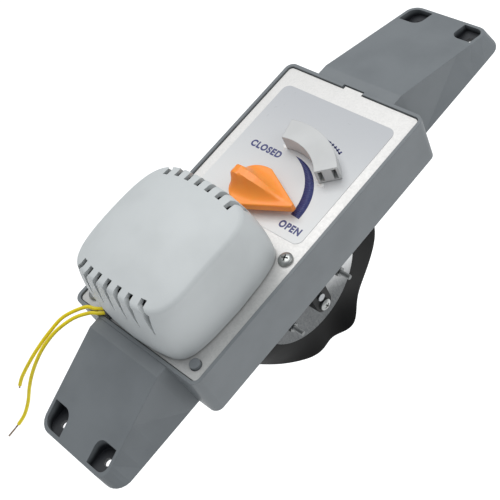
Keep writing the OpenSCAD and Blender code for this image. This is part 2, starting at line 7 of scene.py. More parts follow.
import bpy
import numpy as np
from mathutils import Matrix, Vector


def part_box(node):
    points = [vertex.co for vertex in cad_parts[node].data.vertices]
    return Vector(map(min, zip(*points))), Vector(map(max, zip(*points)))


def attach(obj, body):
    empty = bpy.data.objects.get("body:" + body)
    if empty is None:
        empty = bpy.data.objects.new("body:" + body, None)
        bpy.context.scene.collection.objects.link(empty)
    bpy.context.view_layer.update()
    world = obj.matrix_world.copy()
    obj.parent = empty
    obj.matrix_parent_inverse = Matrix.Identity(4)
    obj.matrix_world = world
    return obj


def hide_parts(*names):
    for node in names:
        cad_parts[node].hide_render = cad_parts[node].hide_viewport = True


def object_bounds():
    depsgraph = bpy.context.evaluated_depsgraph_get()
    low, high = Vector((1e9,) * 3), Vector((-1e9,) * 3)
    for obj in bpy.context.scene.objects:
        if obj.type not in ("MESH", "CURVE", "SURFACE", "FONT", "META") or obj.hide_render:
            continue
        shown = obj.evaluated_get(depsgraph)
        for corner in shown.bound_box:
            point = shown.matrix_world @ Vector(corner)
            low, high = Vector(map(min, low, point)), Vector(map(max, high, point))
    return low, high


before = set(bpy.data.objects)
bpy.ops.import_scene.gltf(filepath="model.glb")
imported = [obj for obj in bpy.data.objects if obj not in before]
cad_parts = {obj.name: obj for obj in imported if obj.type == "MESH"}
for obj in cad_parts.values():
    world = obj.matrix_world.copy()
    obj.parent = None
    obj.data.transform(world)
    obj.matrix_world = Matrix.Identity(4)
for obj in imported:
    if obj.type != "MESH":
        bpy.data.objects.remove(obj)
cad_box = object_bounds()
MM = 0.001
DENSE = 2


# ---- Camera ------------------------------------------------------------------------------
# A 72 mm lens on a full frame, held over the motor end and rolled so that the duct axis climbs
# from the lower left to the upper right of the view.
camera = bpy.data.objects.new("camera", bpy.data.cameras.new("camera"))
bpy.context.collection.objects.link(camera)
camera.data.sensor_width = 36
camera.data.lens = 72
camera.data.clip_start, camera.data.clip_end = 0.02, 20
camera.location = (0.3305, -0.1563, 0.4302)
camera.rotation_euler = (radians(35.54), radians(19.71), radians(42.64))
bpy.context.scene.camera = camera


# ---- Leads -------------------------------------------------------------------------------
# Two low-voltage leads in yellow insulation, extruded over stranded copper. They leave the
# outlet block at the foot of the motor cover, pass over the tray's rim and hang beside the wing.
class Value:
    """A shader socket used in arithmetic: each operator adds one Math node to its tree."""

    def __init__(self, shade, socket):
        self.shade, self.socket = shade, socket

    def math(self, operation, *others):
        inputs = dict(enumerate((self, *others)))
        return self.shade.node("ShaderNodeMath", {"operation": operation}, inputs)

    def __add__(self, other):
        return self.math("ADD", other)

    def __sub__(self, other):
        return self.math("SUBTRACT", other)

    def __rsub__(self, other):
        return self.shade.number(other).math("SUBTRACT", self)

    def __mul__(self, other):
        return self.math("MULTIPLY", other)

    def __abs__(self):
        return self.math("ABSOLUTE")

    def clamp(self, low, high):
        """0 below low, 1 above high and a smooth step between them."""
        settings = {"interpolation_type": "SMOOTHSTEP"}
        return self.shade.node("ShaderNodeMapRange", settings, {0: self, 1: low, 2: high})


def rgb(code):
    """Linear colour with alpha from a six-digit web colour."""
    parts = [int(code[k:k + 2], 16) / 255 for k in (1, 3, 5)]
    return [p / 12.92 if p < 0.04045 else ((p + 0.055) / 1.055) ** 2.4 for p in parts] + [1]


class Shade:
    """One procedural material on Object coordinates, built round its principled shader."""

    def __init__(self, name, base, roughness, **fixed):
        self.material = bpy.data.materials.new(name)
        self.material.use_nodes = True
        self.tree = self.material.node_tree
        self.shader = self.tree.nodes["Principled BSDF"]
        self.shader.inputs["Base Color"].default_value = rgb(base)
        self.shader.inputs["Roughness"].default_value = roughness
        for key, value in fixed.items():
            label = key.replace("_", " ").title().replace("Ior", "IOR")
            self.shader.inputs[label].default_value = value
        self.place = self.node("ShaderNodeTexCoord", {}, {}, "Object")
        self.x, self.y, self.z = (
            self.node("ShaderNodeSeparateXYZ", {}, {0: self.place}, k) for k in range(3))

    def node(self, kind, settings, inputs, output=0):
        """Adds a node: its settings first, then a value or a link for each named input."""
        made = self.tree.nodes.new(kind)
        for key, value in settings.items():
            setattr(made, key, value)
        for key, value in inputs.items():
            if isinstance(value, Value):
                self.tree.links.new(value.socket, made.inputs[key])
            else:
                made.inputs[key].default_value = value
        return Value(self, made.outputs[output])

    def number(self, value):
        return self.node("ShaderNodeMath", {"operation": "ADD"}, {0: value, 1: 0.0})

    def noise(self, scale, detail=2.0, vector=None):
        inputs = {"Vector": vector or self.place, "Scale": scale, "Detail": detail}
        return self.node("ShaderNodeTexNoise", {}, inputs)

    def mix(self, factor, first, second):
        first, second = (rgb(c) if isinstance(c, str) else c for c in (first, second))
        inputs = {0: factor, 6: first, 7: second}
        return self.node("ShaderNodeMix", {"data_type": "RGBA"}, inputs, 2)

    def stretched(self, x, y, z):
        """Object coordinates stretched along each axis, for brushed and drawn finishes."""
        return self.node("ShaderNodeMapping", {}, {"Vector": self.place, "Scale": (x, y, z)})

    def feed(self, name, value):
        self.tree.links.new(value.socket, self.shader.inputs[name])
        return self

    def relief(self, height, depth, edge=0.0):
        """Bump of that depth in metres, over edges rounded by a radius where one is given."""
        inputs = {"Height": height, "Distance": depth, "Strength": 1.0}
        if edge:
            inputs["Normal"] = self.node("ShaderNodeBevel", {"samples": 4}, {"Radius": edge})
        return self.feed("Normal", self.node("ShaderNodeBump", {}, inputs))


def smooth_route(points, steps):
    """Catmull-Rom curve through the points: each span's cubic blends its four nearest points."""
    p = np.array(points, float)
    before, after = np.vstack([p[:1], p[:-2]]), np.vstack([p[2:], p[-1:]])
    t = np.linspace(0, 1, steps, endpoint=False)[None, :, None]
    a, b, c, d = before[:, None], p[:-1, None], p[1:, None], after[:, None]
    curve = 0.5 * (2 * b + (c - a) * t + (2 * a - 5 * b + 4 * c - d) * t**2
                   + (3 * b - a - 3 * c + d) * t**3)
    return np.vstack([curve.reshape(-1, 3), p[-1:]])


def cord_curve(name, route, diameter, material):
    """Round cord of that diameter on one open spline through the route."""
    curve = bpy.data.curves.new(name, "CURVE")
    curve.dimensions = "3D"
    curve.bevel_depth = diameter / 2
    curve.bevel_resolution = 4
    curve.use_fill_caps = True
    spline = curve.splines.new("POLY")
    spline.points.add(len(route) - 1)
    spline.points.foreach_set("co", np.hstack([route, np.ones((len(route), 1))]).ravel())
    piece = bpy.data.objects.new(name, curve)
    bpy.context.collection.objects.link(piece)
    curve.materials.append(material)
    return piece


lead_d = 2.1 * MM
lead_yellow = Shade("lead_yellow", "#dcca22", 0.34, specular_ior_level=0.5)
soil = lead_yellow.noise(260, 3)
lead_yellow.feed("Base Color", lead_yellow.mix(soil.clamp(0.4, 0.8), "#f4de12", "#e9d010"))
lead_yellow.feed("Roughness", soil * 0.1 + 0.3)
lead_yellow.relief(lead_yellow.noise(900, 1), 0.02 * MM)

route_1 = MM * np.array([
    [-18.5, -85.6, 34], [-20.4, -88.4, 33.7], [-23.2, -93, 32.7], [-26.2, -99, 31.9],
    [-31.4, -102.7, 32.3], [-37.4, -105.8, 33], [-45, -116.5, 32], [-48.3, -127.5, 28.5],
    [-51, -137, 24], [-54, -145, 18.5], [-57.5, -154, 11], [-58.5, -158.5, 6.5]])
route_2 = MM * np.array([
    [-15.9, -87.4, 34], [-17.8, -90.2, 33.7], [-20.6, -94.8, 32.7], [-24, -100.5, 31.9],
    [-28, -104, 32.3], [-32.4, -106.9, 32.8], [-38.6, -114, 32.4], [-43.8, -124, 30],
    [-47, -133, 26], [-49.5, -141, 20.5], [-52, -149.5, 12.5], [-53, -156, 5.5],
    [-53.6, -162.5, -2.5], [-54.6, -169, -8.5], [-56.6, -175, -12.5]])
leads = []
for number, route in ((1, route_1), (2, route_2)):
    line = smooth_route(route, 8)
    lead = cord_curve(f"lead_{number}_insulation", line, lead_d, lead_yellow.material)
    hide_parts(f"lead_{number}")
    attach(lead, "frame")
    leads.append((lead, line))


# ---- Bare lead ends ----------------------------------------------------------------------
# The insulation is stripped off each far end, which leaves a few millimetres of tinned copper
# strands with a slight twist.
def mesh_object(name, points, faces, material, body, slot, sharp=None):
    """Mesh piece from an array of points and lists of faces, shaded smooth, that rides a body."""
    mesh = bpy.data.meshes.new(name)
    mesh.from_pydata(points, [], faces)
    mesh.polygons.foreach_set("use_smooth", np.ones(len(mesh.polygons), bool))
    if sharp:
        mesh.set_sharp_from_angle(angle=radians(sharp))
    mesh.materials.append(material)
    piece = bpy.data.objects.new(name, mesh)
    bpy.context.collection.objects.link(piece)
    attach(piece, body)
    return piece


def grid_faces(rows, columns):
    """Quads between neighbouring rows of a grid whose last column joins its first."""
    r, c = np.meshgrid(np.arange(rows - 1), np.arange(columns), indexing="ij")
    step = (c + 1) % columns
    quads = np.stack([r * columns + c, r * columns + step, (r + 1) * columns + step,
                      (r + 1) * columns + c], -1)
    return quads.reshape(-1, 4).tolist()


def square_to(line):
    """Two unit directions square to a line and to each other, at each of its points."""
    ahead = np.gradient(line, axis=0)
    ahead /= np.linalg.norm(ahead, axis=1)[:, None]
    across = np.cross(ahead, [0.3, 0.2, 1.0])
    across /= np.linalg.norm(across, axis=1)[:, None]
    return across, np.cross(ahead, across)


def tube_grid(line, radius, sides):
    """Rings of a round bar along a line: each ring lies square to the line's direction."""
    across, up = square_to(line)
    angle = np.linspace(0, 2 * pi, sides, endpoint=False)[None, :, None]
    return line[:, None] + radius * (np.cos(angle) * across[:, None]
                                     + np.sin(angle) * up[:, None])


def capped(grid):
    """Points and outward faces of rings that close with a flat cap at both ends."""
    rows, columns = grid.shape[:2]
    caps = [list(range(columns))[::-1], [(rows - 1) * columns + k for k in range(columns)]]
    return grid.reshape(-1, 3), grid_faces(rows, columns) + caps


def joined(parts):
    """Several (points, faces) pairs as one."""
    points, faces, count = [], [], 0
    for part, part_faces in parts:
        points.append(part)
        faces += [[k + count for k in f] for f in part_faces]
        count += len(part)
    return np.vstack(points), faces


bare_copper = Shade("bare_copper", "#c98f5e", 0.3, metallic=1.0)
tinning = bare_copper.noise(700, 2).clamp(0.4, 0.65)
bare_copper.feed("Base Color", bare_copper.mix(tinning, "#b9a48e", "#6e5a4c"))
bare_copper.feed("Roughness", bare_copper.noise(500, 2) * 0.4 + 0.15)
strand_pitch = 5 * MM
strand_r, strand_ring = 0.18 * MM, 0.36 * MM
tip_1 = MM * np.array([[-58.5, -158.5, 6.5], [-58.65, -159.05, 5.75], [-58.8, -159.6, 5]])
tip_2 = MM * np.array([[-56.6, -175, -12.5], [-58.3, -179.5, -14.8], [-60, -183.5, -17]])
for number, tip in ((1, tip_1), (2, tip_2)):
    line = smooth_route(tip, 8)
    run = np.concatenate([[0], np.cumsum(np.linalg.norm(np.diff(line, axis=0), axis=1))])
    across, up = square_to(line)
    strands = []
    for k in range(7):
        offset = strand_ring if k else 0.0
        twist = 2 * pi * run / strand_pitch + k * pi / 3
        path = line + offset * (np.cos(twist)[:, None] * across + np.sin(twist)[:, None] * up)
        strands.append(capped(tube_grid(path, strand_r, 8)))
    piece = mesh_object(f"lead_{number}_strands", *joined(strands), bare_copper.material, "frame",
                        "bare_copper", 50)
    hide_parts(f"lead_tip_{number}")
    lead, line = leads[number - 1]


# ---- Housing -----------------------------------------------------------------------------
# One grey moulding: a tray between two tapered wings, with square screw wells at the tips.
# Its skin has the fine grain of a spark-eroded mould. The wells are toned darker, in place of
# the shade that gathers in them.
def dress(node, shade):
    """Gives a CAD node its finish."""
    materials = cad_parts[node].data.materials
    materials.clear()
    materials.append(shade.material)


def moulded(name, base, dark, roughness, grain=1400, edge=0.6 * MM):
    """Moulded plastic: faint clouding of the pigment, a fine grain and soft edges."""
    shade = Shade(name, base, roughness)
    cloud = shade.noise(38, 3)
    shade.feed("Base Color", shade.mix(cloud.clamp(0.35, 0.75), base, dark))
    fine = shade.noise(grain, 2)
    shade.feed("Roughness", fine * 0.14 + (roughness - 0.07))
    return shade.relief(fine, 0.03 * MM, edge)


well_x0, well_x1, well_y0, well_y1 = 11.5 * MM, 26.5 * MM, 151 * MM, 166 * MM
wing_tip, wing_tip_h, wing_slope = 167.5 * MM, 6.4 * MM, 0.3


def well_mask(shade):
    """1 on the walls and floor of the four screw wells, which lie under the wings' sloping tops."""
    across, along, soft = abs(shade.x), abs(shade.y), 0.5 * MM
    inside = across.clamp(well_x0, well_x0 + soft) * across.clamp(well_x1, well_x1 - soft)
    inside = inside * along.clamp(well_y0, well_y0 + soft) * along.clamp(well_y1, well_y1 - soft)
    wing_top = (wing_tip - along) * wing_slope + wing_tip_h
    return inside * (wing_top - shade.z).clamp(0.6 * MM, 4.5 * MM)


housing_grey = moulded("housing_grey", "#767b7e", "#6f7477", 0.5, 1500, 0.35 * MM)
pigment = Value(housing_grey, housing_grey.shader.inputs["Base Color"].links[0].from_socket)
well_shade = well_mask(housing_grey) * 0.95
housing_grey.feed("Base Color", housing_grey.mix(well_shade, pigment, "#1c1f25"))
dress("housing", housing_grey)


# ---- Cover plate -------------------------------------------------------------------------
# Galvanised sheet that closes the tray. The zinc has a fine, faint spangle, and its colour is
# darker towards the motor.
def behind_shaft(shade):
    """Rises from 0 at the shaft to 1 well under the motor."""
    return shade.y.clamp(0.0, -60 * MM)


def galvanised(name, base, dark, metallic, mottle=0.3, darkening=0.0, along=behind_shaft):
    """Zinc coat: small flat crystals of differing shade under a faint drawn grain. The argument
    after mottle sets how far the colour darkens in the direction that along gives; on the blade's
    discs this darkening is painted shade and painted reflection."""
    shade = Shade(name, base, 0.42, metallic=metallic)
    spangle = {"Vector": shade.place, "Scale": 1100.0}
    cells = shade.node("ShaderNodeTexVoronoi", {}, spangle, "Color")
    tone = shade.node("ShaderNodeSeparateColor", {}, {0: cells})
    cloud = shade.noise(70, 4)
    grain = shade.noise(260, 3, shade.stretched(1, 3, 1))
    blend = tone * mottle + cloud * mottle + grain * 0.12
    if darkening:
        blend = blend + along(shade) * darkening
    shade.feed("Base Color", shade.mix(blend, base, dark))
    shade.feed("Roughness", tone * 0.1 + grain * 0.15 + 0.28)
    return shade.relief(tone, 0.008 * MM, 0.3 * MM)


zinc = galvanised("galvanised_zinc", "#e9e7e4", "#9fa1a0", 0.25, 0.12, 0.5)
dress("cover_plate", zinc)


# ---- Dial label --------------------------------------------------------------------------
# Silver-grey printed film, stuck on the plate under the knob. Navy ink shows the blade's
# travel as a crescent that swells towards OPEN, with plain legends and a short scale.
label_film = Shade("label_film", "#ccd2dc", 0.3, specular_ior_level=0.4)
rise = label_film.y.clamp(-20 * MM, 75 * MM)
label_film.feed("Base Color", label_film.mix(rise, "#dfe0df", "#bdbfc2"))
label_film.feed("Roughness", label_film.noise(300, 2) * 0.12 + 0.24)
label_film.relief(label_film.noise(240, 2), 0.01 * MM, 0.1 * MM)
dress("dial_label", label_film)

label_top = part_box("dial_label")[1].z
ink_t = 0.03 * MM
navy_ink = Shade("navy_ink", "#3b3f74", 0.36)
ink_cloud = navy_ink.noise(600, 2).clamp(0.4, 0.7)
navy_ink.feed("Base Color", navy_ink.mix(ink_cloud, "#353a70", "#3f4477"))
navy_ink.relief(navy_ink.noise(900, 1), 0.005 * MM)
white_ink = Shade("white_ink", "#f4f4f2", 0.4)
white_ink.relief(white_ink.noise(900, 1), 0.005 * MM)


def print_plate(name, outlines, ink):
    """Flat shapes a hair thick on the label, each from its outline taken anticlockwise."""
    parts = []
    for outline in outlines:
        flat = np.array(outline, float)
        count = len(flat)
        low = np.column_stack([flat, np.full(count, label_top)])
        high = low + [0, 0, ink_t]
        sides = [[k, (k + 1) % count, count + (k + 1) % count, count + k] for k in range(count)]
        parts.append((np.vstack([low, high]),
                      sides + [list(range(count))[::-1], list(range(count, 2 * count))]))
    return mesh_object(name, *joined(parts), ink.material, "frame", "label_film")


def on_ring(radius, degrees):
    return [radius * cos(radians(degrees)), radius * sin(radians(degrees))]


# The crescent's outer edge is a circle; its width grows along a power curve of the turn.
crescent_r, crescent_w = 30 * MM, 6.2 * MM
turn_0, turn_1 = -3.5, 90
turns = np.linspace(turn_0, turn_1, 40)
wide = crescent_w * (1 - ((turns - turn_0) / (turn_1 - turn_0)) ** 2.6)
outer = [on_ring(crescent_r, a) for a in turns]
inner = [on_ring(crescent_r - w, a) for a, w in zip(turns, wide)]
quads = [[inner[k], outer[k], outer[k + 1], inner[k + 1]] for k in range(len(turns) - 1)]
print_plate("dial_crescent", quads, navy_ink)


def tick(degrees, r0, r1, width):
    """Radial bar between two radii."""
    along, side = np.array(on_ring(1, degrees)), np.array(on_ring(1, degrees + 90))
    return [along * r0 - side * width / 2, along * r1 - side * width / 2,
            along * r1 + side * width / 2, along * r0 + side * width / 2]


# The scale is a rule that thickens along its arc, crossed by five bars that grow in turn.
scale_r, scale_0, scale_1 = 48.2 * MM, 82, 62
bars = [tick(75.5 - 3.1 * k, scale_r - 0.9 * MM, scale_r + (0.3 + 0.25 * k) * MM, 1.15 * MM)
        for k in range(5)]
sweep = np.linspace(scale_0, scale_1, 16)
thick = 0.15 * MM + 0.55 * MM * (scale_0 - sweep) / (scale_0 - scale_1)
rule = [[on_ring(scale_r - w, a), on_ring(scale_r, a)] for a, w in zip(sweep, thick)]
bars += [[rule[k + 1][0], rule[k + 1][1], rule[k][1], rule[k][0]] for k in range(len(rule) - 1)]
print_plate("dial_scale", bars, navy_ink)
marks = []
for degrees in (107, 39):
    tip, foot = on_ring(31.5 * MM, degrees), 35.5 * MM
    marks.append([tip, on_ring(foot, degrees - 3.4), on_ring(foot, degrees + 3.4)])
print_plate("dial_marks", marks, white_ink)


def legend(name, words, x0, x1, y, height):
    """Raised print of plain words between two x positions, its foot line at y."""
    curve = bpy.data.curves.new(name, "FONT")
    curve.body = words
    curve.extrude = ink_t / 2
    curve.offset = 0.05
    curve.space_character = 1.18
    text = bpy.data.objects.new(name + "_font", curve)
    bpy.context.collection.objects.link(text)
    bpy.context.view_layer.update()
    solid = text.evaluated_get(bpy.context.evaluated_depsgraph_get())
    mesh = bpy.data.meshes.new_from_object(solid)
    bpy.data.objects.remove(text)
    co = np.zeros(len(mesh.vertices) * 3)
    mesh.vertices.foreach_get("co", co)
    co = co.reshape(-1, 3)
    low, high = co.min(0), co.max(0)
    span = np.array([x1 - x0, height, ink_t])
    co = (co - low) / (high - low) * span + [x0, y, label_top]
    mesh.vertices.foreach_set("co", co.ravel())
    mesh.materials.clear()
    mesh.materials.append(navy_ink.material)
    piece = bpy.data.objects.new(name, mesh)
    bpy.context.collection.objects.link(piece)
    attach(piece, "frame")


legend("legend_closed", "CLOSED", -31 * MM, -8 * MM, 24 * MM, 4.6 * MM)
legend("legend_open", "OPEN", 21.8 * MM, 36.8 * MM, -10.6 * MM, 4.6 * MM)


# ---- Knob --------------------------------------------------------------------------------
# Orange moulded pointer knob, pressed on the shaft. A fin with scooped flanks runs from its
# round back down to the pointer.
knob_orange = moulded("knob_orange", "#ff9a38", "#ff8a28", 0.36, 1200, 0.4 * MM)
knob_orange.shader.inputs["Subsurface Weight"].default_value = 0.25
knob_orange.shader.inputs["Subsurface Scale"].default_value = 2 * MM
knob_low, knob_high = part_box("knob")
flange_z = knob_high.z - 9.79 * MM
flange_t = 4.4 * MM
skirt_r = 9 * MM
back_r, flat_half, pointer = 16.3 * MM, 13.4 * MM, knob_high.x
fin_x = MM * np.array([-16.3, -15.2, -14, -12.6, -9, -3, 3, 8, 12, 16, 20, 27])
fin_z = MM * np.array([0.0, 3.0, 7.2, 9.2, 9.8, 9.3, 7.4, 5.2, 3.2, 1.4, 0.3, 0.0])
fin_half = MM * np.array([1.2, 2.0, 2.5, 2.9, 2.9, 2.4, 1.9, 1.5, 1.2, 0.9, 0.7, 0.6])


def rounded(x, knots_x, knots_y, reach):
    """Piecewise line through knots, softened by averaging over a window of that reach."""
    window = np.linspace(-reach, reach, 9)
    return np.interp(x[:, None] + window[None], knots_x, knots_y).mean(1)


back_n, pointer_half, scoop_n, knob_edge = 2.4, 1.2 * MM, 2.2, 0.9 * MM


def knob_surface(rows, columns):
    """Rings across the knob: the top is flange height plus fin height times a scooped fall-off,
    (1 - distance from the ridge / scoop) to the power scoop_n, and its edges are rounded. The
    back outline is a rounded square of exponent back_n, the front one tapers to the pointer."""
    x = -back_r + (pointer + back_r) * (1 - np.cos(np.linspace(0, pi / 2, rows)))
    back = flat_half * (1 - np.clip(-x / back_r, 0, 1) ** back_n) ** (1 / back_n)
    front = flat_half + (pointer_half - flat_half) * x / pointer
    half = np.maximum(np.where(x < 0, back, front), 0.2 * MM)
    ridge = rounded(x, fin_x, fin_half, 0.8 * MM)
    height = rounded(x, fin_x, fin_z, 0.9 * MM)
    height[0] = height[-1] = 0
    v = np.sin(np.linspace(-pi / 2, pi / 2, columns))
    y = v[None] * half[:, None]
    scoop = np.minimum(8 * MM, half * 0.72)[:, None]
    fall = np.clip(1 - np.maximum(np.abs(y) - ridge[:, None], 0) / scoop, 0, 1) ** scoop_n
    gap = np.clip((half[:, None] - np.abs(y)) / knob_edge, 0, 1)
    top = flange_z + height[:, None] * fall - knob_edge * (1 - np.sqrt(1 - (1 - gap) ** 2))
    low = np.full_like(y, flange_z - flange_t)
    upper = np.stack([np.broadcast_to(x[:, None], y.shape), y, top], -1)
    lower = np.stack([np.broadcast_to(x[:, None], y.shape), y, low], -1)[:, ::-1]
    return np.concatenate([upper, lower], 1)


def lathe(profile, sides=96, middle=(0, 0)):
    """Surface of revolution about Z: each (radius, height) of the profile becomes a ring."""
    profile = np.array(profile, float)
    angle = np.linspace(0, 2 * pi, sides, endpoint=False)
    r, z = profile[:, :1], np.broadcast_to(profile[:, 1:], (len(profile), sides))
    return np.stack([middle[0] + r * np.cos(angle), middle[1] + r * np.sin(angle), z], -1)


def flipped(part):
    """The same surface with its faces turned over."""
    points, faces = part
    return points, [f[::-1] for f in faces]


skirt_top = flange_z - flange_t + 0.2 * MM
skirt = capped(lathe([(skirt_r, z) for z in (knob_low.z, knob_low.z + 1 * MM, skirt_top)]))
top = flipped(capped(knob_surface(70 * DENSE, 41)))
knob = mesh_object("pointer_knob", *joined([top, skirt]), knob_orange.material, "blade",
                   "orange_plastic", 45)
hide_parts("knob")


# ---- Position stop -----------------------------------------------------------------------
# Pale moulded arc clip that slides round the dial and sets how far the knob may turn. Two legs
# reach through the plate to a steel keeper.
stop_pale = moulded("stop_pale", "#cdcecd", "#c4c5c4", 0.45, 1300, 0.8 * MM)
dress("stop_clip", stop_pale)


# ---- Motor cover -------------------------------------------------------------------------
# Light grey moulded shell over the gear motor: a rounded square with drafted walls, a soft
# shoulder and a crowned roof. Seven vents cross the shoulder at each end.
cover_low, cover_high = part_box("motor_cover")
cover_a = (cover_high.x - cover_low.x) / 2
cover_b = (cover_high.y - cover_low.y) / 2
cover_y = (cover_high.y + cover_low.y) / 2
cover_foot = cover_low.z
cover_h = cover_high.z - cover_low.z
draft_x, draft_y = 2.4 * MM, 4.4 * MM
crown_x, crown_y = 6.5 * MM, 3.5 * MM
shoulder = 2.2 * MM
foot_n, roof_n, foot_bow = 9.0, 4.4, 0.1
foot_gap, cover_wall = 0.7 * MM, 2 * MM
roof_fan, tail_fan = 0.15, 0.08


def cover_surface(s, ex, ey, inset=0.0):
    """Point of the shell over the rounded-square direction (ex, ey). s from 0 to 1 climbs the
    wall, whose half widths shrink with s squared; 1 to 2 turns over the shoulder; 2 to 3 runs
    in to the crown, which falls off with the squares of the two offsets. The foot's sides bow:
    each half width loses foot_bow times the other direction squared."""
    bow = foot_bow * (1 - np.clip(s, 0, 1))
    ex, ey = ex * (1 - bow * np.square(ey)), ey * (1 - bow * np.square(ex))
    a0, b0 = cover_a - inset, cover_b - inset
    a1, b1 = a0 - draft_x, b0 - draft_y
    top = cover_h - inset
    lean = np.clip(s, 0, 1) ** 2
    turn = np.clip(s - 1, 0, 1) * pi / 2
    share = 1 - np.clip(s - 2, 0, 1)
    back = shoulder * (1 - np.cos(turn))
    a = (a0 + (a1 - a0) * lean - back) * share
    b = (b0 + (b1 - b0) * lean - back) * share
    u, v = np.minimum(a / a1, 1) * ex, np.minimum(b / b1, 1) * ey
    crown = top - crown_x * u**2 - crown_y * v**2
    edge = crown - shoulder * (1 - np.sin(turn))
    z = np.where(s < 1, foot_gap + (edge - foot_gap) * np.clip(s, 0, 1), edge)
    return np.stack(np.broadcast_arrays(a * ex, cover_y + b * ey, cover_foot + z), -1)


def squareness(s):
    """Exponent of the outline: squarer at the foot, rounder from the shoulder up."""
    return foot_n + (roof_n - foot_n) * np.clip(s, 0, 1)


def rounded_square(t, n):
    """Unit rounded square: cosine and sine raised to 2 over its squareness, signs kept."""
    c, s = np.cos(t), np.sin(t)
    return np.sign(c) * np.abs(c) ** (2 / n), np.sign(s) * np.abs(s) ** (2 / n)


levels = np.concatenate([np.linspace(0, 1, 12), np.linspace(1, 2, 8)[1:],
                         np.linspace(2, 2.97, 14)[1:]])
t = np.linspace(0, 2 * pi, 96 * DENSE, endpoint=False)
ex, ey = rounded_square(t[None], squareness(levels)[:, None])
outside = cover_surface(levels[:, None], ex, ey)
inside = cover_surface(levels[:, None], ex, ey, cover_wall)
cover = mesh_object("motor_cover_shell", *capped(np.concatenate([inside[::-1], outside])),
                    moulded("cover_grey", "#c9cdcd", "#c2c6c6", 0.5, 1300, 0.4 * MM).material,
                    "frame", "cover_plastic", 60)


def shell_line(s, x, way, inset):
    """Line on the shell at one x, on the motor end (way -1) or the dial end (way 1)."""
    a = cover_surface(s, 1.0, 0.0, inset)[:, 0]
    share = np.clip(np.abs(x) / a, 0, 0.98)
    n = squareness(s)
    return cover_surface(s, np.sign(x) * share, way * (1 - share**n) ** (1 / n), inset)


def vent_cutter(x0, way):
    """Cutter for one vent: rings of four corners between a line outside the shell and one
    inside it, over the shoulder. The vents fan out from the roof's middle, and those at the
    motor end narrow and shallow into a tail."""
    tail = way < 0
    s = np.linspace(2.09 if tail else 2.11, 0.64 if tail else 0.84, 24)
    fade = np.clip((0.95 - s) / 0.31, 0, 1) if tail else np.zeros_like(s)
    wide = ((1 - fade) * 1.55 + fade * 0.3) * MM
    x = x0 * (1 - roof_fan * np.clip((s - 1) / 1.1, 0, 1) + tail_fan * fade)
    corners = [shell_line(s, x, way, inset)
               for inset in (-1.2 * MM, ((1 - fade) * 3.4 + fade * 0.3) * MM)]
    side = np.stack([wide, 0 * wide, 0 * wide], -1)
    return capped(np.stack([corners[0] - side, corners[0] + side, corners[1] + side,
                            corners[1] - side], 1))


def cut(piece, parts):
    """Takes closed solids away from a piece."""
    mesh = bpy.data.meshes.new("cutter")
    points, faces = joined(parts)
    mesh.from_pydata(points, [], faces)
    cutter = bpy.data.objects.new("cutter", mesh)
    bpy.context.collection.objects.link(cutter)
    bpy.ops.object.select_all(action="DESELECT")
    bpy.context.view_layer.objects.active = cutter
    cutter.select_set(True)
    bpy.ops.object.mode_set(mode="EDIT")
    bpy.ops.mesh.select_all(action="SELECT")
    bpy.ops.mesh.normals_make_consistent(inside=False)
    bpy.ops.object.mode_set(mode="OBJECT")
    cutter.select_set(False)
    boolean = piece.modifiers.new("cut", "BOOLEAN")
    boolean.operation, boolean.object, boolean.solver = "DIFFERENCE", cutter, "MANIFOLD"
    bpy.context.view_layer.objects.active = piece
    piece.select_set(True)
    bpy.ops.object.modifier_apply(modifier="cut")
    piece.select_set(False)
    bpy.data.objects.remove(cutter)


vent_pitch = 9.0 * MM
vents = [vent_cutter((k - 3) * vent_pitch, way) for way in (-1, 1) for k in range(7)]


def block(low, high):
    """Plain box, used only to cut."""
    (x0, y0, z0), (x1, y1, z1) = low, high
    grid = np.array([[[x0, y0, z], [x1, y0, z], [x1, y1, z], [x0, y1, z]] for z in (z0, z1)])
    return capped(grid)


notch = block((17 * MM, cover_low.y - MM, cover_foot - MM),
              (26 * MM, cover_low.y + 8 * MM, cover_foot + 1.5 * MM))
outlet_low, outlet_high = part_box("lead_grommet")
door = block((outlet_low.x + 0.6 * MM, outlet_low.y, cover_foot - MM),
             (outlet_high.x - 0.2 * MM, outlet_high.y + 2 * MM, outlet_high.z + 0.3 * MM))
cut(cover, vents + [notch, door])
cover.data.polygons.foreach_set("use_smooth", np.ones(len(cover.data.polygons), bool))
cover.data.set_sharp_from_angle(angle=radians(38))
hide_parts("motor_cover")
dress("lead_grommet", moulded("outlet_dark", "#4a4c4e", "#3e4042", 0.5))


# ---- Gear motor --------------------------------------------------------------------------
# A flat gear case with the motor can on top, in plated steel, under the cover. Two screws
# through its ears hold it on the plate.
plain_steel = galvanised("plain_steel", "#b4b6b8", "#7d7f82", 0.9)
for node in ("gear_case", "motor_can", "return_spring", "damper_shaft", "retaining_ring",
             "stop_keeper", "bar_rivet"):
    dress(node, plain_steel)
screw_zinc = Shade("screw_zinc", "#a8aaa8", 0.3, metallic=1.0)
wear = screw_zinc.noise(300, 2)
screw_zinc.feed("Base Color", screw_zinc.mix(wear.clamp(0.4, 0.8), "#b2b4b2", "#8e908e"))
screw_zinc.feed("Roughness", wear * 0.12 + 0.28)
screw_zinc.relief(wear, 0.004 * MM, 0.2 * MM)
for node in ("can_screw_1", "can_screw_2", "bar_screw"):
    dress(node, screw_zinc)


# ---- Plate screws ------------------------------------------------------------------------
# Two zinc-plated pan-head screws hold the plate. Each head is a shallow dome with a pressed
# cross recess.
shank_r, dome_h = 1.9 * MM, 1.7 * MM
arm_l, arm_half, recess = 2.3 * MM, 0.5 * MM, 1.9 * MM


